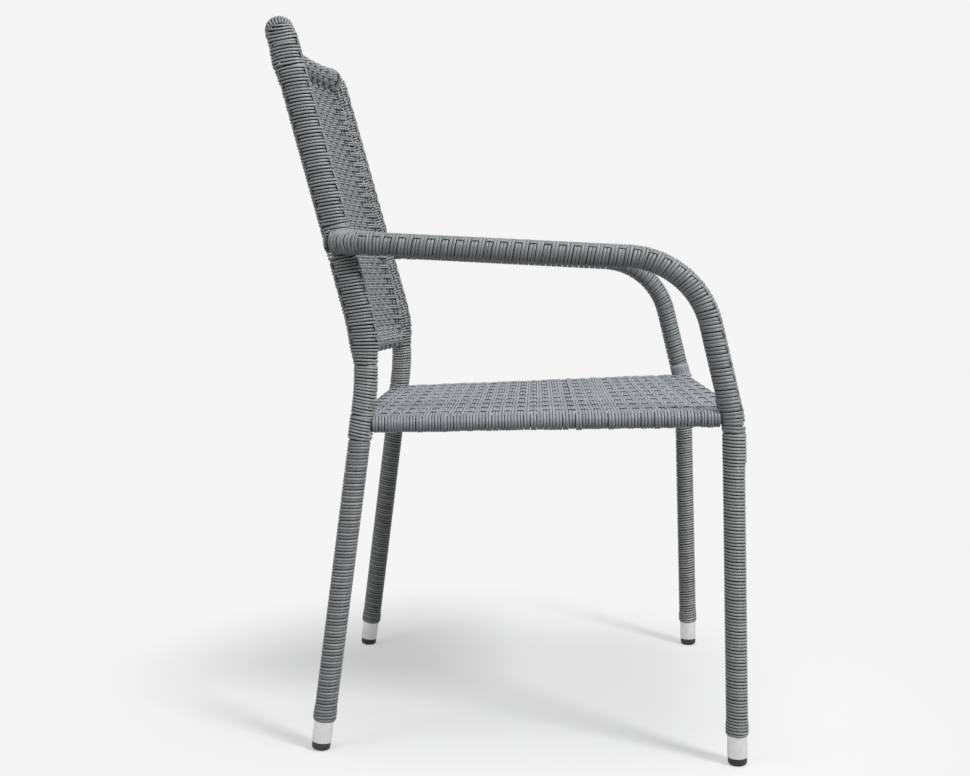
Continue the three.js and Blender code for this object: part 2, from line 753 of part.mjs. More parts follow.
function addSeatWeave() {
  const crossTurns = [seatRails.seat_front_rail, seatRails.seat_rear_rail].map(
    (path) => barAlong(path, railWindingRadius),
  );
  const legCutters = Object.keys(sides).flatMap((name) => [
    barAlong(frontPaths[name], armWindingRadius + seatingGap),
    barAlong(postPaths[name], seatJointRadius + seatingGap),
  ]);
  const weave = cutBy(joined(seatSheet(), ...crossTurns), ...legCutters, ...seatRailClearance);
  addPiece('seat_weave', weave, strandFinish);
}

// A low collar of seat strands stands round the inner side of each front leg, on the seat.
function addSeatCollars() {
  const bore = armWindingRadius + seatingGap;
  const seatTop = blockUnderSeat(seatingGap);
  Object.keys(sides).forEach((name) => {
    const corner = seatCorners(sides[name]).front;
    const top = seatFrontHeight + railWindingRadius + seatCollarHeight;
    const stretch = stretchByHeight(frontPaths[name], seatFrontHeight, top);
    const ring = pipeAlong(stretch, bore + strandThickness, strandThickness);
    const outerSide = new THREE.BoxGeometry(cutterOverrun, cutterOverrun * 2, cutterOverrun * 2);
    outerSide.translate(corner.x + (sides[name] * cutterOverrun) / 2, corner.y, corner.z);
    addPiece(`seat_collar_${name}`, cutBy(ring, seatTop, outerSide), strandFinish);
  });
}

addFrameTubes();
addRails();
addFeet();
addLegWindings();
addArmWindings();
addPostWindings();
addArmJointWindings();
addRailWindings();
addBackWeave();
addSeatWeave();
addSeatCollars();

const bounds = new THREE.Box3().setFromObject(chair);
chair.position.y = -(bounds.min.y + bounds.max.y) / 2;

export default chair;
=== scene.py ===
import json
import math
import bpy
import numpy as np
from mathutils import Euler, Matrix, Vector


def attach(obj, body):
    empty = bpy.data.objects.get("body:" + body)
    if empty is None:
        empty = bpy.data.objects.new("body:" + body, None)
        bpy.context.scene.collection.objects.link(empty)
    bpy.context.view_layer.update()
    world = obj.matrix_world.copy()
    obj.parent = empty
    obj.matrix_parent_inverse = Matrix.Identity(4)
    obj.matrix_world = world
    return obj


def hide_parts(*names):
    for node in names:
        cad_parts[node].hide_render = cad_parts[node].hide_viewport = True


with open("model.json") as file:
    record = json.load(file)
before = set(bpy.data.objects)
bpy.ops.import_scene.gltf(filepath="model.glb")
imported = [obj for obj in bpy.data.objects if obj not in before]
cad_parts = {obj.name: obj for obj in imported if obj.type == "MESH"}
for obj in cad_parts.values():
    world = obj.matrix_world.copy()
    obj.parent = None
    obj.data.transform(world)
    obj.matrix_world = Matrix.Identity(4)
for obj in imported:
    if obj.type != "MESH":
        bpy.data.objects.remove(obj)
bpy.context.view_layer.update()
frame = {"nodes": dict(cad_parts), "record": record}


# The view. The camera stands at the photograph's place, beside the chair's right side and a little
# above the seat. Its lens gives the photograph's frame of 970 by 776.
camera_data = bpy.data.cameras.new("view_camera")
camera_data.lens = 47.733
camera_data.sensor_width = 36
foot_places = {mount["name"]: mount["pos_m"] for mount in frame["record"]["mounts"]}
front_foot_setback = foot_places["foot_front_right"][1]
camera = bpy.data.objects.new("view_camera", camera_data)
camera.location = (-1.7835, front_foot_setback + 0.2496, 0.5933)
camera.rotation_euler = Euler([math.radians(angle) for angle in (84.890, -0.249, -87.738)], "XYZ")
bpy.context.scene.collection.objects.link(camera)
bpy.context.scene.camera = camera
bpy.context.scene.view_settings.view_transform = "Standard"


# The room. A pale floor that takes the chair's soft shadow and runs out into an even pale backdrop, under
# a soft lamp at the front right, weaker ones above and at the rear right, and an even sky.
class Shade:
    """One output of a shader node, so that sums on surfaces can be written as sums."""

    def __init__(self, tree, made=None, output=0):
        self.tree = tree
        self.made = made
        self.socket = made.outputs[output] if made and made.outputs else None

    def out(self, output):
        return Shade(self.tree, self.made, output)

    def node(self, kind, settings=(), inputs=(), output=0):
        made = self.tree.nodes.new(kind)
        for name, value in dict(settings).items():
            setattr(made, name, value)
        for name, value in dict(inputs).items():
            if isinstance(value, Shade):
                self.tree.links.new(value.socket, made.inputs[name])
            else:
                made.inputs[name].default_value = value
        return Shade(self.tree, made, output)

    def sum(self, operation, *values):
        return self.node("ShaderNodeMath", {"operation": operation}, dict(enumerate(values)))

    def __add__(self, other):
        return self.sum("ADD", self, other)

    __radd__ = __add__

    def __mul__(self, other):
        return self.sum("MULTIPLY", self, other)

    def range(self, low, high, new_low=0.0, new_high=1.0):
        settings = {"interpolation_type": "SMOOTHSTEP"}
        inputs = {"Value": self, "From Min": low, "From Max": high, "To Min": new_low, "To Max": new_high}
        return self.node("ShaderNodeMapRange", settings, inputs)

    def mix(self, first, second):
        """Goes from the first colour to the second as this value goes from 0 to 1."""
        ends = [value if isinstance(value, Shade) else (*value, 1) for value in (first, second)]
        return self.node("ShaderNodeMix", {"data_type": "RGBA"}, {0: self, 6: ends[0], 7: ends[1]}, 2)

    def noise(self, place, scale, detail=2.0):
        inputs = {"Vector": place, "Scale": scale, "Detail": detail}
        return self.node("ShaderNodeTexNoise", inputs=inputs, output="Fac")

    def seen(self):
        """1 for what is looked at, also in a reflection or through glass, and 0 for light on its way."""
        rays = self.node("ShaderNodeLightPath")
        looks = rays.out("Is Camera Ray") + rays.out("Is Glossy Ray") + rays.out("Is Transmission Ray")
        return looks.range(0, 1)

    def surface(self, colour, roughness, relief, strength, depth, **others):
        """Ends a material with one body that has a colour, a roughness and a fine relief."""
        bump = self.node("ShaderNodeBump", inputs={"Strength": strength, "Distance": depth, "Height": relief})
        inputs = {"Base Color": colour, "Roughness": roughness, "Normal": bump, **others}
        body = self.node("ShaderNodeBsdfPrincipled", inputs=inputs)
        self.node("ShaderNodeOutputMaterial", inputs={"Surface": body})


def new_finish(name):
    """An empty material and the pen that draws its nodes."""
    finish = bpy.data.materials.new(name)
    finish.use_nodes = True
    finish.node_tree.nodes.clear()
    return finish, Shade(finish.node_tree)


backdrop = (0.913, 0.913, 0.913)
floor_colour = (0.74, 0.74, 0.74)
floor_return = 0.30
floor_half = 12.0
floor_drop = 0.0002
floor_mesh = bpy.data.meshes.new("studio_floor")
floor_corners = [(x * floor_half, y * floor_half, 0) for x, y in ((-1, -1), (1, -1), (1, 1), (-1, 1))]
floor_mesh.from_pydata(floor_corners, [], [(0, 1, 2, 3)])
studio_floor = bpy.data.objects.new("studio_floor", floor_mesh)
studio_floor.location.z = -floor_drop
bpy.context.scene.collection.objects.link(studio_floor)
floor_finish, pen = new_finish("pale_floor")
floor_place = pen.node("ShaderNodeTexCoord", output="Object")
floor_reach = pen.node("ShaderNodeVectorMath", {"operation": "LENGTH"}, {0: floor_place}, "Value")
floor_grain = pen.noise(floor_place, 60.0)
floor_tone = floor_grain.range(0.3, 0.7).mix(floor_colour, [value * 1.006 for value in floor_colour])
seen = pen.seen()
floor_shown = seen.mix([value * floor_return for value in floor_colour], floor_tone)
floor_matte = pen.node("ShaderNodeBsdfDiffuse", inputs={"Color": floor_shown})
floor_glow = pen.node("ShaderNodeEmission", inputs={"Color": (*backdrop, 1)})
far_floor = floor_reach.range(0.28, 0.66, 0.40, 1.0) * seen
floor_mix = pen.node("ShaderNodeMixShader", inputs={0: far_floor, 1: floor_matte, 2: floor_glow})
pen.node("ShaderNodeOutputMaterial", inputs={"Surface": floor_mix})
floor_mesh.materials.append(floor_finish)

world = bpy.data.worlds.new("studio_sky")
world.use_nodes = True
world.node_tree.nodes.clear()
pen = Shade(world.node_tree)
sky_place = pen.node("ShaderNodeTexCoord", output="Generated")
sky_height = pen.node("ShaderNodeSeparateXYZ", inputs={"Vector": sky_place}, output="Z")
sky_tone = sky_height.range(-0.1, 0.9).mix((0.15, 0.15, 0.147), (0.50, 0.51, 0.525))
sky = pen.node("ShaderNodeBackground", inputs={"Color": pen.seen().mix(sky_tone, backdrop)})
pen.node("ShaderNodeOutputWorld", inputs={"Surface": sky})
bpy.context.scene.world = world


def add_soft_lamp(name, place, aim, size, power):
    lamp_data = bpy.data.lights.new(name, "AREA")
    lamp_data.shape = "DISK"
    lamp_data.size = size
    lamp_data.energy = power
    lamp = bpy.data.objects.new(name, lamp_data)
    lamp.location = place
    lamp.rotation_euler = (Vector(aim) - Vector(place)).to_track_quat("-Z", "Y").to_euler()
    bpy.context.scene.collection.objects.link(lamp)


add_soft_lamp("key_lamp", (-1.8, -2.1, 2.6), (0, 0, 0.4), 0.9, 105)
add_soft_lamp("top_lamp", (-0.3, 0.0, 3.4), (0, 0, 0.4), 2.0, 38)
add_soft_lamp("side_lamp", (-1.6, 2.2, 1.6), (0, 0.2, 0.3), 1.4, 15)


# The bent tubes. Powder-coated round steel tube, 22 mm for the frame and 16 mm for the rails, bent cold
# and welded. The strand covers nearly all of it, so it keeps its own solids and shows only in the gaps.
front_foot_spread = 0.510
front_leg_splay = 0.0077
front_leg_sweep = 0.0151
front_leg_bend_height = 0.420
arm_spread = 0.528
arm_front_height = 0.610
arm_front_setback = 0.063
arm_rise = 0.0208
arm_overlap = 0.011
rear_foot_spread = 0.4606
rear_foot_setback = 0.514
post_knee_spread = 0.4236
post_top_spread = 0.396
post_knee_height = 0.491
post_knee_setback = 0.4526
top_rail_height = 0.885
back_recline = 0.1095
back_bow = 0.027
top_corner_radius = 0.018
lower_rail_height = 0.492
seat_front_height = 0.4248
seat_rear_height = 0.4074
seating_gap = 0.0003
tube_radius = 0.011
leg_bend_radius = 0.110
arm_bend_radius = 0.105
post_bend_radius = 0.3


def lengths_along(points):
    """The length from a line's first point to each of its points."""
    return np.concatenate([[0], np.cumsum(np.linalg.norm(np.diff(points, axis=0), axis=1))])


class Route:
    """A tube's centre line, with the two directions square to it at every length along it."""

    def __init__(self, points):
        self.points = np.array(points, float)
        self.lengths = lengths_along(self.points)
        self.length = self.lengths[-1]
        along = np.gradient(self.points, self.lengths, axis=0)
        self.along = along / np.linalg.norm(along, axis=1)[:, None]
        spread = np.ptp(self.points, axis=0)
        kept = np.array([1.0, 0, 0]) if spread[0] < spread[1] else np.array([0, 1.0, 0])
        square = kept - self.along * (self.along @ kept)[:, None]
        square /= np.linalg.norm(square, axis=1)[:, None]
        self.across = square if spread[0] < spread[1] else np.cross(square, self.along)

    def at(self, place):
        """Centre, across, deep and along at each length."""
        centre, across, along = (
            np.stack([np.interp(place, self.lengths, table[:, axis]) for axis in range(3)], -1)
            for table in (self.points, self.across, self.along))
        along /= np.linalg.norm(along, axis=-1, keepdims=True)
        across /= np.linalg.norm(across, axis=-1, keepdims=True)
        return centre, across, np.cross(along, across), along

    def around(self, side, place, angle):
        """Centres, and ways outward at an angle from the chair's outer side, at each length."""
        centre, across, deep, _ = self.at(place)
        angle = np.broadcast_to(angle, place.shape)[:, None]
        return centre, side * across * np.cos(angle) + deep * np.sin(angle)

    def length_at_height(self, height):
        rising = self.points[:, 2] >= height
        index = max(int(np.argmax(rising)), 1)
        low, high = self.points[index - 1, 2], self.points[index, 2]
        share = (height - low) / (high - low)
        return self.lengths[index - 1] + share * (self.lengths[index] - self.lengths[index - 1])


def bent_route(corners, radii):
    """Straight runs between corners, with a round bend at each inner corner."""
    corners = [np.array(corner, float) for corner in corners]
    points = [corners[0]]
    for before, corner, after, radius in zip(corners, corners[1:], corners[2:], radii):
        run_in = (corner - before) / np.linalg.norm(corner - before)
        run_out = (after - corner) / np.linalg.norm(after - corner)
        turn = math.acos(run_in.dot(run_out))
        start = corner - run_in * radius * math.tan(turn / 2)
        inward = run_out - run_in * run_out.dot(run_in)
        inward /= np.linalg.norm(inward)
        steps = max(2, math.ceil(turn / math.radians(2)))
        for step in range(steps + 1):
            angle = turn * step / steps
            points.append(start + run_in * radius * math.sin(angle) + inward * radius * (1 - math.cos(angle)))
    points.append(corners[-1])
    return Route(np.array(points) + (0, front_foot_setback, 0))


def post_corners(side):
    return [
        (side * rear_foot_spread / 2, rear_foot_setback, 0),
        (side * post_knee_spread / 2, post_knee_setback, post_knee_height),
        (side * post_top_spread / 2, post_knee_setback + back_recline, top_rail_height),
    ]


post_routes = {side: bent_route(post_corners(side), [post_bend_radius]) for side in (-1, 1)}


def side_route(side):
    post = post_routes[side]
    arm_height = arm_front_height + arm_rise
    post_x, post_y, _ = post.at(post.length_at_height(arm_height))[0]
    corners = [
        (side * front_foot_spread / 2, 0, 0),
        (side * (front_foot_spread / 2 + front_leg_splay), front_leg_sweep, front_leg_bend_height),
        (side * arm_spread / 2, arm_front_setback, arm_front_height),
        (post_x + side * (2 * tube_radius + seating_gap), post_y - front_foot_setback + arm_overlap,
         arm_height),
    ]
    return bent_route(corners, [leg_bend_radius, arm_bend_radius])


def back_route():
    half_spread = post_top_spread / 2
    end_angle = 2 * math.atan(back_bow / (half_spread + top_corner_radius))
    apex_setback = post_knee_setback + back_recline + half_spread * math.tan(end_angle)
    arc_radius = (half_spread / math.cos(end_angle) - top_corner_radius) / math.tan(end_angle)
    corners = [*post_corners(-1), (0, apex_setback, top_rail_height), *post_corners(1)[::-1]]
    radii = [post_bend_radius, top_corner_radius, arc_radius, top_corner_radius, post_bend_radius]
    return bent_route(corners, radii)


side_routes = {side: side_route(side) for side in (-1, 1)}
back = back_route()
post_points = post_routes[1].points


def post_setback(height):
    """The y of both posts' centre lines at a height, or at many."""
    return np.interp(height, post_points[:, 2], post_points[:, 1])


def post_side(height):
    """The distance of the posts' centre lines from the chair's middle plane at a height, or at many."""
    return np.interp(height, post_points[:, 2], post_points[:, 0])


def bow_at(across, height):
    """How far the back is bowed to the rear of the posts at a place across it."""
    return back_bow * (1 - (np.asarray(across) / post_side(height)) ** 2)


rail_half = post_side(lower_rail_height)
rail_steps = np.linspace(-rail_half, rail_half, 61)
rail_setbacks = post_setback(lower_rail_height) + bow_at(rail_steps, lower_rail_height)
lower_rail = Route(np.stack([rail_steps, rail_setbacks, np.full_like(rail_steps, lower_rail_height)], -1))

tube_finish, pen = new_finish("powder_coat")
tube_place = pen.node("ShaderNodeTexCoord", output="Object")
dusting = pen.noise(tube_place, 35.0, 6.0)
tube_colour = dusting.range(0.35, 0.7).mix((0.036, 0.037, 0.038), (0.062, 0.063, 0.063))
pen.surface(tube_colour, 0.45 + dusting * 0.2, pen.noise(tube_place, 900.0, 3.0), 0.25, 0.0002)
for node in ("back_frame_tube", "side_frame_tube_right", "side_frame_tube_left", "back_lower_rail",
             "seat_front_rail", "seat_rear_rail", "seat_side_rail_right", "seat_side_rail_left"):
    tube = frame["nodes"][node]
    tube.data.materials.clear()
    tube.data.materials.append(tube_finish)


# The windings on the legs. Two extruded oval strands lie side by side and are wound together, each turn
# hard against the last. They start over the foot sleeve, which lifts the first turns a little. The rear
# legs are wound the other way round, and the lower strand of each pair there is darker: painted shade
# for the shadow that the upper strand casts on it.
strand_width = 0.0036
strand_depth = 0.0022
strand_pitch = 0.0037
ring_steps = 8
ring = np.arange(ring_steps)
ring_angles = ring * 2 * math.pi / ring_steps
winding_centre = tube_radius + strand_depth / 2
leg_lead = 0.0077
glide_height = 0.0095
winding_foot = glide_height + 0.0275
sleeve_top = winding_foot + 0.015
front_swell_foot = 0.367
seat_joint_foot = 0.388
arm_winding_foot = 0.407
side_names = {-1: "right", 1: "left"}
chance = np.random.default_rng(41)


def strand_rings(points, outward, half_width=strand_width / 2, half_depth=strand_depth / 2, square=1.0):
    """The corner points of a strand's cross-section at each point of its run: oval, or squarer below 1."""
    along = np.gradient(points, axis=0)
    along /= np.linalg.norm(along, axis=1, keepdims=True) + 1e-12
    outward = outward - along * (along * outward).sum(1, keepdims=True)
    outward /= np.linalg.norm(outward, axis=1, keepdims=True) + 1e-12
    across = np.cross(along, outward)
    wide, high = np.cos(ring_angles), np.sin(ring_angles)
    wide = np.sign(wide) * np.abs(wide) ** square * half_width
    high = np.sign(high) * np.abs(high) ** square * half_depth
    return points[:, None] + across[:, None] * wide[None, :, None] + outward[:, None] * high[None, :, None]


def strand_mesh(name, runs):
    """One mesh of many strands. Each run is a list of points, the way that is outward there, and its size."""
    corners, quads, caps, lays = [], [], [], []
    count = 0
    for points, outward, *size in runs:
        rings = strand_rings(points, outward, *size)
        number = len(points)
        length = lengths_along(points)
        lay = np.zeros((number, ring_steps, 3))
        lay[..., 0] = np.cos(ring_angles)[None, :]
        lay[..., 1] = length[:, None] + chance.random() * 3
        lay[..., 2] = chance.random()
        rows = count + np.arange(number - 1)[:, None] * ring_steps
        first, after = rows + ring, rows + (ring + 1) % ring_steps
        quads.append(np.stack([first, after, after + ring_steps, first + ring_steps], -1).reshape(-1, 4))
        caps.append(count + ring[::-1])
        caps.append(count + (number - 1) * ring_steps + ring)
        corners.append(rings.reshape(-1, 3))
        lays.append(lay.reshape(-1, 3))
        count += number * ring_steps
    corners, quads, caps, lays = (np.concatenate(part) for part in (corners, quads, caps, lays))
    cap_count = len(caps) // ring_steps
    mesh = bpy.data.meshes.new(name)
    mesh.vertices.add(len(corners))
    mesh.vertices.foreach_set("co", corners.astype(np.float32).ravel())
    mesh.loops.add(quads.size + caps.size)
    mesh.loops.foreach_set("vertex_index", np.concatenate([quads.ravel(), caps]).astype(np.int32))
    mesh.polygons.add(len(quads) + cap_count)
    starts = np.concatenate([np.arange(len(quads)) * 4, quads.size + np.arange(cap_count) * ring_steps])
    mesh.polygons.foreach_set("loop_start", starts.astype(np.int32))
    mesh.polygons.foreach_set("use_smooth", np.arange(len(starts)) < len(quads))
    lay_values = mesh.attributes.new("lay", "FLOAT_VECTOR", "POINT").data
    lay_values.foreach_set("vector", lays.astype(np.float32).ravel())
    mesh.update(calc_edges=True)
    mesh.validate()
    return mesh


def add_strands(name, runs, finish, slot, *nodes):
    """A piece made of strands, in place of the solids that hold its room."""
    piece = bpy.data.objects.new(name, strand_mesh(name, runs))
    piece.data.materials.append(finish)
    bpy.context.scene.collection.objects.link(piece)
    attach(piece, "root")
    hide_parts(*nodes)


def strand_finish(name, dark, light, roughness, groove_shade_from, groove_shade_tone):
    """Extruded plastic strand: fine lengthwise lines, a tone of its own for each run, and painted shade at
    its sides for the grooves between strands.
    """
    finish, pen = new_finish(name)
    lay = pen.node("ShaderNodeAttribute", {"attribute_name": "lay"}, output="Vector")
    across = pen.node("ShaderNodeSeparateXYZ", inputs={"Vector": lay})
    length, own = across.out(1), across.out(2)
    stretched = pen.node("ShaderNodeCombineXYZ", inputs={0: across * 4.0, 1: length * 16.0, 2: own * 40.0})
    patches = pen.node("ShaderNodeCombineXYZ", inputs={0: own * 55.0, 1: length * 28.0, 2: own * 9.0})
    lines = pen.noise(stretched, 1.0, 3.0)
    tone = pen.noise(patches, 1.0) * 0.6 + lines * 0.4
    # Painted shade: each strand darkens towards its sides, where the grooves between neighbouring strands lie
    # in shade.
    edge = pen.sum("ABSOLUTE", across).range(groove_shade_from, 1.0)
    colour = edge.mix(tone.range(0.3, 0.7).mix(dark, light), [value * groove_shade_tone for value in dark])
    pen.surface(colour, roughness + lines * 0.22, lines, 0.35, 0.00025, IOR=1.5)
    return finish


winding_finish = strand_finish("winding_strand", (0.21, 0.218, 0.22), (0.34, 0.352, 0.354), 0.34, 0.4, 0.14)


def wound_pair(route, side, start, end, lead, radius, pitch=strand_pitch,
               size=(strand_width / 2, strand_depth / 2), levelled=None, hand=1):
    """Two strands side by side, wound round a route from one length along it to another."""
    steps = 26
    turns = (end - start) / lead + 1
    angle = np.linspace(-2 * math.pi, 2 * math.pi * turns, int(steps * (turns + 1)))
    runs = []
    for lane in (-0.5, 0.5):
        raw = start + lead * (angle / (2 * math.pi) + 0.5) + lane * pitch
        raw = raw + 0.00022 * np.sin(angle * 0.37 + lane)
        place = np.clip(raw, start + strand_width / 2, end - strand_width / 2)
        tucked = np.abs(raw - place)
        kept = tucked < strand_width
        place, tucked, turned = place[kept], tucked[kept], angle[kept]
        if levelled:
            place = levelled(place, turned)
        turned = turned * hand
        centre, outward = route.around(side, place, turned)
        reach = radius(turned, place) - 0.45 * tucked
        runs.append((centre + outward * reach[:, None], outward, *size))
    return runs


rear_leg_finish = strand_finish(
    "rear_leg_strand", (0.20, 0.206, 0.208), (0.31, 0.319, 0.321), 0.36, 0.6, 0.5)
# Painted shade: this darker copy of the rear strand's finish goes on the lower strand of each rear pair.
rear_leg_lower_shade_finish = strand_finish(
    "rear_leg_lower_painted_shade_strand", (0.13, 0.134, 0.137), (0.205, 0.212, 0.215), 0.38, 0.6, 0.6)


def add_leg_windings():
    for side, name in side_names.items():
        front, rear = side_routes[side], post_routes[side]
        for end, route, next_foot, swell_from, extra, hand, finish, under_finish in (
            ("front", front, arm_winding_foot, front.length_at_height(front_swell_foot), 0.0002, 1,
             winding_finish, winding_finish),
            ("rear", rear, seat_joint_foot, rear.length, 0.0008, -1, rear_leg_finish, rear_leg_lower_shade_finish),
        ):
            def radius(turned, place):
                over_sleeve = np.clip((sleeve_top + 0.004 - place) / 0.008, 0, 1)
                thicker = np.clip((place - swell_from) / 0.004, 0, 1) * (0.75 - 0.6 * np.sin(turned))
                return winding_centre + extra + 0.0008 * over_sleeve + 0.0013 * thicker

            stop = route.length_at_height(next_foot - seating_gap)
            lower, upper = wound_pair(route, side, winding_foot, stop, leg_lead, radius, hand=hand)
            node = f"{end}_leg_winding_{name}"
            add_strands(f"{end}_leg_strands_{name}", [upper], finish, "winding_strand", node)
            add_strands(f"{end}_leg_under_strands_{name}", [lower], under_finish, "winding_strand", node)


add_leg_windings()


# The windings on the arms and upper front legs. Every second pair of strands passes under a flat strip of
# two strands, and the next pair passes over it. The strip runs lengthwise up the outer front of the leg
# and along the outer upper side of the arm.
arm_lead = 0.0087
arm_pitch = 0.0040
arm_strand = (0.00195, 0.00095, 0.72)
arm_centre = 0.0130
arm_finish = strand_finish("arm_strand", (0.148, 0.156, 0.159), (0.228, 0.239, 0.242), 0.37, 0.84, 0.4)
arm_joint_length = 0.066
flat_strand = (0.0019, 0.0010)
strip_strand = 0.0038
strip_depth = 0.0018
crossing_rise = 0.0005
crossing_dip = 0.0013


def eased(share):
    """From 0 to 1 with a soft start and end."""
    return share ** 2 * (3 - 2 * share)


def flattened(wave):
    """A wave with flat crests and quick crossings between them."""
    return np.tanh(3 * wave) / math.tanh(3)


def even(radius):
    """A winding of one radius, all the way round and along."""
    return lambda turned, place=None: np.full_like(turned, radius)


def strip_bump(turned, strip_angle, half_width, radius):
    """1 on the strip, 0 beside it."""
    away = (turned - strip_angle + math.pi) % (2 * math.pi) - math.pi
    return 1 - eased(np.clip((np.abs(away) * radius - half_width) / 0.0022, 0, 1))


def crossing_radius(base, strips, dip=crossing_dip):
    """The radius of pairs that pass over each strip on one turn and under it on the next."""
    def radius(turned, place):
        plain = base(turned)
        turn = np.round(turned / (2 * math.pi))
        lift = np.zeros_like(turned)
        for strip_angle, strands, flip in strips:
            angle_now = strip_angle(place) if callable(strip_angle) else strip_angle
            over = np.where((turn + flip) % 2 == 0, crossing_rise, -dip)
            lift += over * strip_bump(turned, angle_now, strands * strip_strand / 2, plain)
        return plain + lift
    return radius


def strip_runs(route, side, start, end, wound_from, lead, strip, base, dip=crossing_dip):
    """The lengthwise strip: low where a pair passes over it, high where one passes under it."""
    strip_angle, strands, flip = strip
    place = np.arange(start, end, 0.0011)
    angle_now = strip_angle(place) if callable(strip_angle) else np.full_like(place, strip_angle)
    first_pair = wound_from + lead * (angle_now / (2 * math.pi) + 0.5 + flip)
    wave = flattened(np.cos(math.pi * (place - first_pair) / lead))
    plain = base(angle_now)
    low = plain + crossing_rise - strip_depth
    high = plain - dip + strip_depth
    reach = (low + high) / 2 - (high - low) / 2 * wave
    runs = []
    for lane in np.arange(strands) - (strands - 1) / 2:
        centre, outward = route.around(side, place, angle_now + lane * strip_strand / plain)
        runs.append((centre + outward * reach[:, None], outward, strip_strand / 2, strip_depth / 2))
    return runs


def add_arm_windings():
    for side, name in side_names.items():
        route = side_routes[side]
        start = route.length_at_height(arm_winding_foot)
        end = route.length - arm_joint_length
        bend_end = route.length_at_height(arm_front_height - 0.002)

        def strip_angle(place):
            places = [start, start + 0.05, bend_end - 0.05, bend_end, bend_end + 0.15, end]
            return np.radians(np.interp(place, places, [-76, -76, -58, -54, -60, -54]))

        strip = (strip_angle, 2, 0)
        radius = crossing_radius(even(arm_centre), [strip])
        runs = wound_pair(route, side, start, end, arm_lead, radius, arm_pitch, arm_strand)
        runs += strip_runs(route, side, start + 0.012, end, start, arm_lead, strip, even(arm_centre))
        add_strands(f"arm_strands_{name}", runs, arm_finish, "winding_strand", f"arm_winding_{name}")


add_arm_windings()


# The windings on the posts. Plain pairs between the seat and the back, then pairs that cross two strips,
# one at the front where the back's weave starts and one at the rear. A thicker band covers the seat joint.
# The weave's own uprights go on as single strands on the posts' inner sides, above a plain lower end.
post_lead = 0.0081
post_pitch = 0.0040
post_dip = 0.0009
post_strand = (0.0018, 0.0013)
post_side_centre = 0.0134
post_depth_centre = 0.0172
seat_joint_centre = 0.0142
mid_post_centre = 0.0140
plain_post_centre = 0.0143
crossing_foot = 0.508
seat_joint_top = 0.418
mid_post_top = 0.480
arm_joint_foot = 0.610
arm_joint_top = 0.650
post_winding_top = 0.842
post_finish = strand_finish("post_strand", (0.175, 0.182, 0.185), (0.29, 0.301, 0.304), 0.34, 0.35, 0.12)
post_strips = [(math.radians(angle), strands, flip) for angle, strands, flip in (
    (-80, 2, 0), (66, 2, 0), (-108, 1, 1), (-133, 1, 0), (-158, 1, 1), (110, 1, 1), (135, 1, 0), (160, 1, 1),
)]


def panel_post_base(turned, place=None):
    """The oval winding of a post beside the back: deeper than it is wide."""
    wide = np.cos(turned) / post_side_centre
    deep = np.sin(turned) / post_depth_centre
    return 1 / np.sqrt(wide ** 2 + deep ** 2)


def rear_swell(turned, height):
    """The turns are packed thicker on the rear of the post just below its top bend."""
    return 0.0030 * np.exp(-((height - 0.849) / 0.017) ** 2) * np.clip(np.sin(turned), 0, 1)


def crossed_runs(route, side, start, end, strips_end, levelled=None):
    """Pairs that cross the posts' strips, and those strips. Below the strips the pairs are plain."""
    crossing = crossing_radius(panel_post_base, post_strips, post_dip)
    plain_below = route.length_at_height(crossing_foot)

    def radius(turned, place):
        crossed = crossing(turned, place) + rear_swell(turned, route.at(place)[0][:, 2])
        share = np.clip((place - plain_below + 0.024) / 0.024, 0, 1)
        return plain_post_centre + (crossed - plain_post_centre) * eased(share)

    runs = wound_pair(route, side, start, end, post_lead, radius, post_pitch, post_strand, levelled)
    for strip in post_strips:
        runs += strip_runs(route, side, max(start, plain_below), strips_end, start, post_lead, strip,
                           panel_post_base, post_dip)
    return runs


def add_post_windings():
    for side, name in side_names.items():
        route = post_routes[side]
        at_height = route.length_at_height
        joint = wound_pair(route, side, at_height(seat_joint_foot), at_height(seat_joint_top), post_lead,
                           even(seat_joint_centre), post_pitch, post_strand)
        add_strands(f"seat_joint_strands_{name}", joint, winding_finish, "winding_strand",
                    f"seat_joint_winding_{name}")
        middle = wound_pair(route, side, at_height(seat_joint_top + seating_gap), at_height(mid_post_top),
                            leg_lead, even(mid_post_centre))
        add_strands(f"mid_post_strands_{name}", middle, winding_finish, "winding_strand",
                    f"mid_post_winding_{name}")
        for part, foot, top in (("lower", mid_post_top, arm_joint_foot),
                                ("upper", arm_joint_top, post_winding_top)):
            start, end = at_height(foot + seating_gap), at_height(top - seating_gap)
            runs = crossed_runs(route, side, start, end, end)
            add_strands(f"{part}_post_strands_{name}", runs, post_finish, "winding_strand",
                        f"{part}_post_winding_{name}")


add_post_windings()


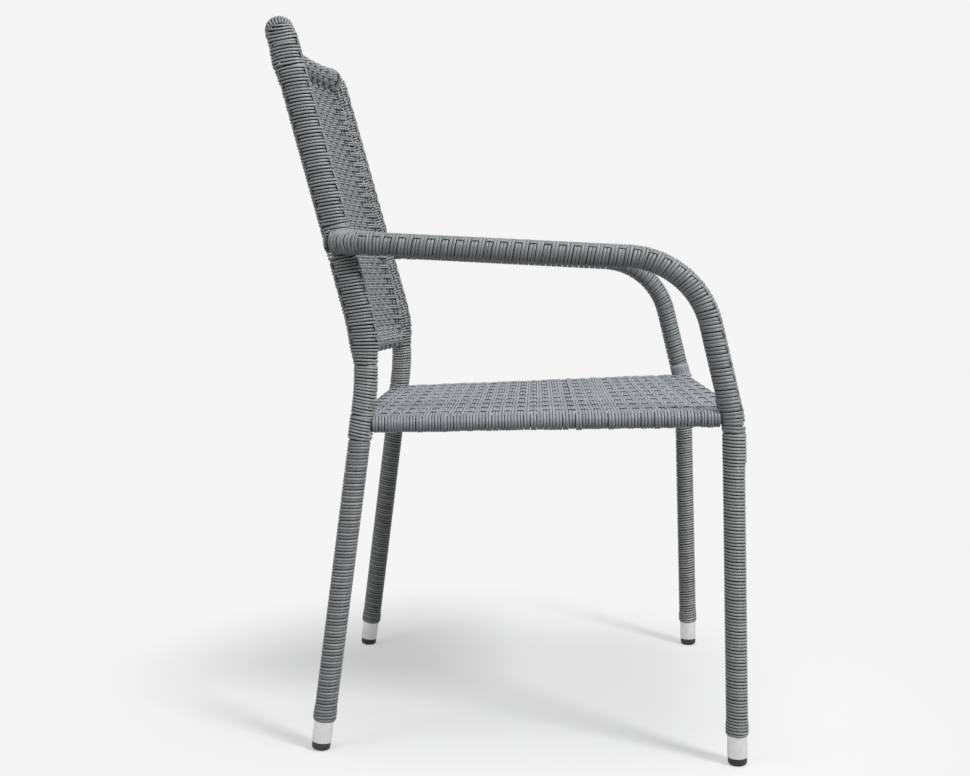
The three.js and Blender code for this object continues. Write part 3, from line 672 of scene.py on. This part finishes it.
# The joint of arm and post. The arm's tube is welded to the post's outer side. Turns round the arm lean
# back more and more until they hook over its end, and plain turns on the post run behind them. Strands
# laid over the end of the tube close it.
def add_arm_joints():
    arm_end_centre = 0.0134
    loop_strand = (0.0020, 0.0011)
    end_reach = 0.0128
    end_spacing = 0.0036
    strip = (math.radians(-52), 2, 1)
    base = even(arm_end_centre)
    angle = np.linspace(-math.pi, math.pi, 48)
    outerness = (1 + np.cos(angle)) / 2
    lap = strip_bump(angle, strip[0], strip_strand, arm_end_centre)
    for side, name in side_names.items():
        post, arm = post_routes[side], side_routes[side]
        low, high = post.length_at_height(arm_joint_foot), post.length_at_height(arm_joint_top)
        runs = wound_pair(post, side, low, high, post_lead, panel_post_base, post_pitch, post_strand)
        end = arm.length
        start = end - arm_joint_length
        first_turn = start - 0.001
        runs += wound_pair(arm, side, start, end - 0.004, 0.0062, even(arm_end_centre - 0.0016), 0.0031,
                           (0.0017, 0.0009))
        for loop in range(7):
            leaning = min(max((loop - 2) / 3, 0), 1)
            lean = 0.0210 * eased(leaning) * (1 - outerness)
            over = crossing_rise if loop % 2 else -crossing_dip
            for lane in (-0.5, 0.5):
                place = first_turn + arm_lead * (loop + 0.5) + lane * arm_pitch - lean
                over_end = np.clip(place - (end - 0.001), 0, None)
                place = np.clip(place, 0, end)
                centre, outward = arm.around(side, place, angle)
                reach = base(angle) + over * lap * (1 - leaning) + 0.0004 * math.sin(loop * 2.1 + lane)
                reach = reach + leaning * (0.0004 + 0.0009 * (loop % 2)) - over_end * 0.6
                points = centre + outward * reach[:, None] + arm.at(place)[3] * over_end[:, None] * 0.7
                runs.append((points, outward, *loop_strand))
        runs += strip_runs(arm, side, start, end - 0.016, first_turn - arm_lead * strip[0] / (2 * math.pi),
                           arm_lead, strip, base)
        centre, across, deep, along = (row[0] for row in arm.at(np.array([end])))
        turn = np.radians(np.linspace(-115, 115, 18))[:, None]
        for strand in range(-3, 4):
            offset = strand * end_spacing
            chord = math.sqrt(end_reach ** 2 - offset ** 2)
            points = centre + across * offset + deep * chord * np.sin(turn)
            points = points + along * (0.0042 * np.cos(turn) * chord / end_reach - 0.0018)
            runs.append((points, deep * np.sin(turn) + along * np.cos(turn), *flat_strand))
        add_strands(f"arm_joint_strands_{name}", runs, arm_finish, "winding_strand",
                    f"arm_joint_winding_{name}")


add_arm_joints()


# The top corners. The posts' pairs run on level, round the outer side of the bend. Above them the corner is
# closed by a cap of strands laid lengthwise over it, which ends under the weave that is folded over the top
# rail. The right corner's cap stands higher than the left one's, as on the photographed chair.
def add_top_corners():
    bend_start = back.length_at_height(top_rail_height - top_corner_radius)
    corner_length = top_corner_radius * math.pi / 2
    crown_sizes = {-1: 0.9, 1: 0.25}
    cap_strand = (0.0018, 0.0011)
    top_finish = strand_finish("corner_strand", (0.175, 0.182, 0.185), (0.27, 0.281, 0.284), 0.36, 0.6, 0.3)

    def levelled(place, turned):
        """Keeps a turn level in the bend: it goes further round where the outer side is further out."""
        climb = np.clip(place - bend_start, 0, None)
        level = climb / (top_corner_radius + post_side_centre * np.clip(np.cos(turned), 0, 1))
        return np.where(climb > 0, bend_start + top_corner_radius * np.arcsin(np.clip(level, 0, 0.97)), place)

    start = back.length_at_height(post_winding_top)
    cap_start = bend_start + 0.66 * corner_length
    cap_end = bend_start + corner_length + 0.026
    place = np.linspace(cap_start, cap_end, 44)
    share = (place - cap_start) / (cap_end - cap_start)
    full_crown = np.interp(share, [0, 0.08, 0.3, 0.5, 0.8, 1], [0.1, 0.9, 0.86, 0.42, 0.1, 0])
    squarer = np.interp(share, [0, 0.08, 0.26], [0, 0.0022, 0])
    fuller = np.interp(share, [0, 0.08, 0.25, 0.55], [0.0008, 0.0026, 0.0026, 0])
    for side, name in side_names.items():
        route = back if side < 0 else Route(back.points[::-1])
        runs = crossed_runs(route, side, start, bend_start + 0.0285, bend_start + 0.004, levelled)
        add_strands(f"top_post_strands_{name}", runs, post_finish, "winding_strand", "top_rail_winding")
        crown = full_crown * crown_sizes[side]
        runs = []
        for degrees in np.linspace(-100, 100, 17):
            angle = math.radians(degrees)
            outer, rearward = max(math.cos(angle), 0), max(math.sin(angle), 0)
            centre, outward = route.around(side, place, angle)
            reach = 0.0136 + (0.0064 * crown + squarer) * (0.1 + 0.9 * outer) + fuller * rearward ** 1.5
            reach = reach + 0.0001 * chance.standard_normal()
            runs.append((centre + outward * reach[:, None], outward, *cap_strand))
        add_strands(f"top_corner_strands_{name}", runs, top_finish, "winding_strand", "top_rail_winding")


add_top_corners()


# The back. Pairs of strands run from post to post, over one upright stake of three strands and under the
# next, each row the other way round from the row below. The weave is folded over the top rail and round
# the lower rail. It is made in parts: the pairs in three bands, the stakes in a right and a left half.
back_finish = strand_finish("back_strand", (0.19, 0.198, 0.202), (0.315, 0.327, 0.333), 0.34, 0.5, 0.2)
# Painted shade: the stakes get a darker copy of the weave's finish, which stands in for the shadowed gaps
# between stakes and pairs.
stake_painted_shade_finish = strand_finish("back_stake", (0.10, 0.105, 0.108), (0.18, 0.187, 0.19), 0.40, 0.5, 0.2)
row_pitch = 0.0077
stake_pitch = 0.0128
stakes_reach = 0.2030
weft_spacing = 0.0030
stake_spacing = 0.0038
first_row = 0.004
weave_swing = 0.0025
section_step = 0.0012
weft_strand = (0.00155, 0.0012)
stake_strand = (0.0019, 0.0009)


def rail_fold(height, radius, first, last):
    """The weave round a rail: forward and upward places from the posts' middle line."""
    angles = np.radians(np.arange(first, last, -4.0))
    return np.stack([radius * np.cos(angles), height + radius * np.sin(angles)], -1)


def back_profile():
    """The weave's section, from the top fold's lower edge behind to the lower fold's upper edge behind."""
    upper = rail_fold(top_rail_height, 0.0136, 222, -52)
    lower = rail_fold(lower_rail_height, 0.0107, 52, -215)
    heights = np.arange(top_rail_height - 0.018, lower_rail_height + 0.0165, -0.003)
    straight = np.stack([np.zeros(len(heights)), heights], -1)
    section = np.concatenate([upper, straight, lower])
    lengths = lengths_along(section)
    places = np.arange(0, lengths[-1], section_step)
    section = np.stack([np.interp(places, lengths, section[:, axis]) for axis in (0, 1)], -1)
    for _ in range(8):
        section[1:-1] = (section[:-2] + 2 * section[1:-1] + section[2:]) / 4
    return section


back_section = back_profile()
section_lengths = lengths_along(back_section)


def section_at(down):
    """How far forward and how high the weave's section is at a length down it."""
    return np.stack([np.interp(down, section_lengths, back_section[:, axis]) for axis in (0, 1)])


def on_back(across, down, lift):
    """A point of the weave, by the place across it, the length down its section and the lift off it."""
    across, down, lift = np.broadcast_arrays(across, down, lift)
    forward, height = section_at(down)
    run = section_at(down + 0.001) - section_at(down - 0.001)
    face_upward, face_rearward = run / (np.linalg.norm(run, axis=0) + 1e-12)
    tip = np.clip(height, lower_rail_height - 0.05, top_rail_height)
    slope = -2 * back_bow * across / post_side(tip) ** 2
    normal = np.stack([-slope * face_rearward, face_rearward, face_upward], -1)
    normal /= np.linalg.norm(normal, axis=-1, keepdims=True)
    share = np.clip((post_side(tip) - np.abs(across) - 0.003) / 0.024, 0, 1)
    beside_rails = np.minimum(height - lower_rail_height, top_rail_height - 0.018 - height)
    onto_post = 0.0145 * (1 - eased(share)) * np.clip(beside_rails / 0.03, 0, 1)
    setback = post_setback(tip) + bow_at(across, tip) - forward - onto_post
    return np.stack([across, setback, height], -1) + normal * lift[..., None], normal


def add_back_weave():
    total = section_lengths[-1]
    fold_end = 0.058
    lower_fold = total - 0.046

    def weave_half(down):
        short = np.interp(down, [fold_end - 0.004, fold_end + 0.010, lower_fold - 0.004, lower_fold + 0.006],
                          [0.022, 0.001, 0.001, 0.0145])
        return post_side(section_at(down)[1]) - short

    rows = int((total - 2 * first_row) / row_pitch)
    stakes = int(2 * stakes_reach / stake_pitch)
    first_stake = -(stakes - 1) / 2 * stake_pitch
    weft = []
    for row in range(rows):
        flip = 1 if row % 2 else -1
        down = first_row + row_pitch * (row + 0.5)
        half = weave_half(down)
        across = np.linspace(-half, half, stakes * 7)
        swing = weave_swing * (0.45 if down < fold_end - 0.012 else 1)
        wave = np.cos(math.pi * (across - first_stake) / stake_pitch) * flip
        for lane in (-0.5, 0.5):
            wander = 0.00025 * np.sin(across * 55 + row * 1.7)
            weft.append(on_back(across, down + lane * weft_spacing + wander, swing * wave) + weft_strand)
    for part, label in enumerate(("upper", "middle", "lower")):
        band = weft[len(weft) * part // 3:len(weft) * (part + 1) // 3]
        add_strands(f"back_weft_{label}", band, back_finish, "back_strand", "back_weave")
    uprights = []
    for stake in range(stakes):
        place = first_stake + stake * stake_pitch
        down = np.arange(0, total, 0.0022)
        down = down[weave_half(down) > abs(place) + 0.007]
        flip = 1 if stake % 2 else -1
        wave = np.cos(math.pi * (down - first_row - row_pitch * 0.5) / row_pitch) * flip
        swing = np.interp(down, [fold_end - 0.014, fold_end - 0.008], [0.0006, 0.0014])
        for lane in (-1, 0, 1):
            uprights.append(on_back(place + lane * stake_spacing, down, swing * wave) + stake_strand)
    middle = len(uprights) // 2
    for label, some in (("right", uprights[:middle]), ("left", uprights[middle:])):
        add_strands(f"back_stakes_{label}", some, stake_painted_shade_finish, "back_strand", "back_weave")
    runs = wound_pair(lower_rail, 1, 0.012, lower_rail.length - 0.012, post_lead, even(0.0088))
    add_strands("lower_rail_strands", runs, winding_finish, "winding_strand", "lower_rail_winding")


add_back_weave()


# The seat. Pairs of strands run from side to side and hook round both side rails. Nine straight strips
# run from front to rear: every second pair dives under them, and each other pair rides over them. Pairs
# laid along the front and rear rails close the edges. The long pairs are made in a front and a rear half.
seat_finish = strand_finish("seat_strand", (0.178, 0.188, 0.203), (0.28, 0.293, 0.312), 0.36, 0.7, 0.24)
rail_centre = 0.0098
seat_drop = 0.0008
seat_strand = (0.00187, 0.0011, 0.8)
pair_pitch = 0.00775
lane_spacing = 0.0037
edge_pitch = 0.0071
sideways = np.array([1.0, 0, 0])
hook_angles = np.radians(np.arange(245, 0, -12.0))
strip_spacing = 0.057
seat_front = side_routes[1].at(side_routes[1].length_at_height(seat_front_height))[0]
seat_rear = post_routes[1].at(post_routes[1].length_at_height(seat_rear_height))[0]
seat_run = np.array([0, seat_rear[1] - seat_front[1], seat_rear[2] - seat_front[2]])
seat_depth = np.linalg.norm(seat_run)
seat_back_way = seat_run / seat_depth
seat_up = np.array([0, -seat_back_way[2], seat_back_way[1]])
seat_origin = np.array([0, seat_front[1], seat_front[2]]) - seat_up * seat_drop


def on_seat(across, depth, lift):
    """A point of the seat: across it, behind the front rail and above the rails' centres."""
    across, depth, lift = np.broadcast_arrays(across, depth, lift)
    return (seat_origin + across[..., None] * sideways
            + depth[..., None] * seat_back_way + lift[..., None] * seat_up)


def seat_half(depth):
    """Half the distance between the side rails' centre lines at a depth behind the front rail."""
    return seat_front[0] + (seat_rear[0] - seat_front[0]) * depth / seat_depth


def strip_place(index, depth):
    """The strips draw together a little to the rear, as the seat does."""
    return index * strip_spacing * seat_half(depth) / seat_front[0]


def near_strips(across, depth):
    """1 on a strip, 0 between them."""
    spacing = strip_place(1, depth)
    away = np.abs((across + spacing / 2) % spacing - spacing / 2) - strip_strand
    inside = np.abs(across) < spacing * 4.5
    return (1 - eased(np.clip(away / 0.004, 0, 1))) * inside


def hooked_section(half, bend_radius, flat):
    """A strand's way across the seat: up round one rail, over the flat and down round the other."""
    hook = np.stack([half + bend_radius * np.sin(hook_angles), bend_radius * np.cos(hook_angles)], -1)
    flat_part = np.stack([flat[::-1], np.full(len(flat), bend_radius)], -1)
    mirrored = hook[::-1] * (-1, 1)
    return np.concatenate([hook, flat_part, mirrored])


def outward_of(section):
    """The way square to a section's run at each of its points."""
    run = np.gradient(section, axis=0)
    run /= np.linalg.norm(run, axis=1, keepdims=True)
    return np.stack([run[:, 1], -run[:, 0]], -1)


def add_seat_weave():
    runs = []
    pairs = int((seat_depth - 0.026) / pair_pitch)
    first = (seat_depth - pairs * pair_pitch) / 2 + pair_pitch / 2
    for pair in range(pairs):
        nudge = 0.00004 * chance.standard_normal()
        swell = 0.0003 * chance.standard_normal()
        for lane in (-0.5, 0.5):
            depth = first + pair * pair_pitch + lane * lane_spacing + nudge
            half = seat_half(depth)
            flat = np.arange(-half + 0.002, half - 0.002, 0.0036)
            section = hooked_section(half, rail_centre + swell, flat)
            outward = outward_of(section)
            over = 0.0011 if pair % 2 else -0.0019
            bump = near_strips(section[:, 0], depth) * (section[:, 1] > rail_centre * 0.9)
            section = section + outward * (over * bump)[:, None]
            sway = 0.0002 * np.sin(section[:, 0] * 40 + pair)
            points = on_seat(section[:, 0], depth + sway, section[:, 1])
            face = outward[:, :1] * sideways + outward[:, 1:] * seat_up
            runs.append((points, face, *seat_strand))
    middle = len(runs) // 2
    for label, some in (("front", runs[:middle]), ("rear", runs[middle:])):
        add_strands(f"seat_strands_{label}", some, seat_finish, "seat_strand", "seat_weave")
    strips = []
    for index in range(-4, 5):
        for lane in (-0.5, 0.5):
            hook_radius = rail_centre + 0.0021
            front = hook_radius * np.stack([-np.sin(hook_angles), np.cos(hook_angles)], -1)
            flat = np.arange(0.003, seat_depth - 0.003, 0.0013)
            level = rail_centre + 0.0001 + 0.0011 * flattened(np.cos(math.pi * (flat - first) / pair_pitch))
            edge = np.clip((np.minimum(flat, seat_depth - flat) - 0.006) / 0.012, 0, 1)
            level = hook_radius + (level - hook_radius) * edge
            rear = front[::-1] * (-1, 1) + (seat_depth, 0)
            section = np.concatenate([front, np.stack([flat, level], -1), rear])
            outward = -outward_of(section)
            across = strip_place(index, np.clip(section[:, 0], 0, seat_depth)) + lane * strip_strand
            points = on_seat(across, section[:, 0], section[:, 1])
            face = outward[:, :1] * seat_back_way + outward[:, 1:] * seat_up
            strips.append((points, face, *flat_strand))
    add_strands("seat_strips", strips, seat_finish, "seat_strand", "seat_weave")
    edges = []
    for setback, half, way in ((0, seat_front[0], -1), (seat_depth, seat_rear[0], 1)):
        across = np.arange(-half + 0.012, half - 0.012, 0.0022)
        for turn in range(-1, 6):
            for lane in (-0.5, 0.5):
                bent = turn * edge_pitch - 0.0025 + lane * lane_spacing
                angle = max(bent, 0) / rail_centre
                lift = near_strips(across, setback) * (0.0008 if turn % 2 else -0.0018)
                reach = rail_centre + lift
                depth = setback + way * (reach * math.sin(angle) + min(bent, 0))
                points = on_seat(across, depth, reach * math.cos(angle))
                face = seat_back_way * way * math.sin(angle) + seat_up * math.cos(angle)
                edges.append((points, np.tile(face, (len(across), 1)), *seat_strand))
    add_strands("seat_edge_strands", edges, seat_finish, "seat_strand", "seat_weave")


add_seat_weave()


# The collars. Where the seat meets a front leg, ends of the seat's strands stand up round the leg's
# inner side and are tucked under the turns of the arm's winding.
def add_seat_collars():
    for side, name in side_names.items():
        route = side_routes[side]
        seat_level = route.length_at_height(seat_front_height + 0.0095)
        place = seat_level + np.linspace(-0.006, 0.0165, 12)
        spread = np.clip((seat_level + 0.004 - place) / 0.009, 0, 1) ** 2 * 0.0020
        tuck = np.clip((place - seat_level - 0.0135) / 0.003, 0, 1) * 0.0012
        reach = 0.0156 + spread - tuck
        runs = []
        for strand in range(12):
            angle = math.pi + math.radians(-56 + 112 * strand / 11)
            centre, outward = route.around(side, place, angle)
            runs.append((centre + outward * reach[:, None], outward, *flat_strand))
        add_strands(f"collar_strands_{name}", runs, seat_finish, "seat_strand", f"seat_collar_{name}")


add_seat_collars()


# The feet. A bare turned aluminium sleeve is pushed over the end of each leg, and a black moulded glide
# is plugged into the tube under it. Both keep the size of their solids.
sleeve_finish, pen = new_finish("bare_aluminium")
sleeve_place = pen.node("ShaderNodeTexCoord", output="Object")
turned_lines = pen.node("ShaderNodeMapping", inputs={"Vector": sleeve_place, "Scale": (40, 40, 2600)})
turning = pen.noise(turned_lines, 1.0)
scuffs = pen.noise(sleeve_place, 180.0, 5.0)
sleeve_colour = scuffs.range(0.4, 0.75).mix((0.74, 0.745, 0.73), (0.68, 0.685, 0.67))
pen.surface(sleeve_colour, 0.34 + scuffs * 0.2, turning, 0.15, 0.0001, Metallic=0.75)

glide_finish, pen = new_finish("moulded_glide")
glide_place = pen.node("ShaderNodeTexCoord", output="Object")
worn = pen.noise(glide_place, 240.0, 5.0)
glide_colour = worn.range(0.45, 0.75).mix((0.018, 0.018, 0.018), (0.045, 0.044, 0.042))
pen.surface(glide_colour, 0.42 + worn * 0.2, pen.noise(glide_place, 1400.0), 0.3, 0.0001)


def turned_piece(name, route, profile, finish, node):
    """A body of revolution round the start of a leg: lengths along it and radii."""
    sides = 48
    base, across, deep, along = (row[0] for row in route.at(np.array([0.0])))
    corners, faces = [], []
    for length, radius in profile:
        for step in range(sides):
            angle = 2 * math.pi * step / sides
            corner = base + along * length + (across * math.cos(angle) + deep * math.sin(angle)) * radius
            corner[2] = max(corner[2], 0)
            corners.append(corner)
    for low in range(0, (len(profile) - 1) * sides, sides):
        for step in range(sides):
            after = (step + 1) % sides
            faces.append((low + step, low + after, low + sides + after, low + sides + step))
    mesh = bpy.data.meshes.new(name)
    mesh.from_pydata([tuple(corner) for corner in corners], [], faces)
    mesh.polygons.foreach_set("use_smooth", [True] * len(faces))
    mesh.materials.append(finish)
    piece = bpy.data.objects.new(name, mesh)
    bpy.context.scene.collection.objects.link(piece)
    bevel = piece.modifiers.new("edge_break", "BEVEL")
    bevel.width = 0.0004
    bevel.segments = 2
    bevel.limit_method = "ANGLE"
    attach(piece, "root")
    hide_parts(node)


def add_feet():
    low, inner, outer, stem_top = glide_height + seating_gap, 0.0113, 0.0122, 0.0255
    sleeve = [(low, inner), (low, outer), (sleeve_top, outer), (sleeve_top, inner), (low, inner)]
    glide = [(0.0, 0.0005), (0.0, 0.0085)]
    for step in range(7):
        angle = math.pi / 2 * step / 6
        glide.append((0.004 - 0.004 * math.cos(angle), 0.0079 + 0.0037 * math.sin(angle)))
    glide += [(glide_height, 0.0116), (glide_height, 0.0094), (stem_top, 0.0092), (stem_top, 0.0005)]
    for side, name in side_names.items():
        for end, route in (("front", side_routes[side]), ("rear", post_routes[side])):
            turned_piece(f"sleeve_{end}_{name}", route, sleeve, sleeve_finish,
                         f"foot_sleeve_{end}_{name}")
            turned_piece(f"glide_{end}_{name}", route, glide, glide_finish,
                         f"foot_glide_{end}_{name}")


add_feet()
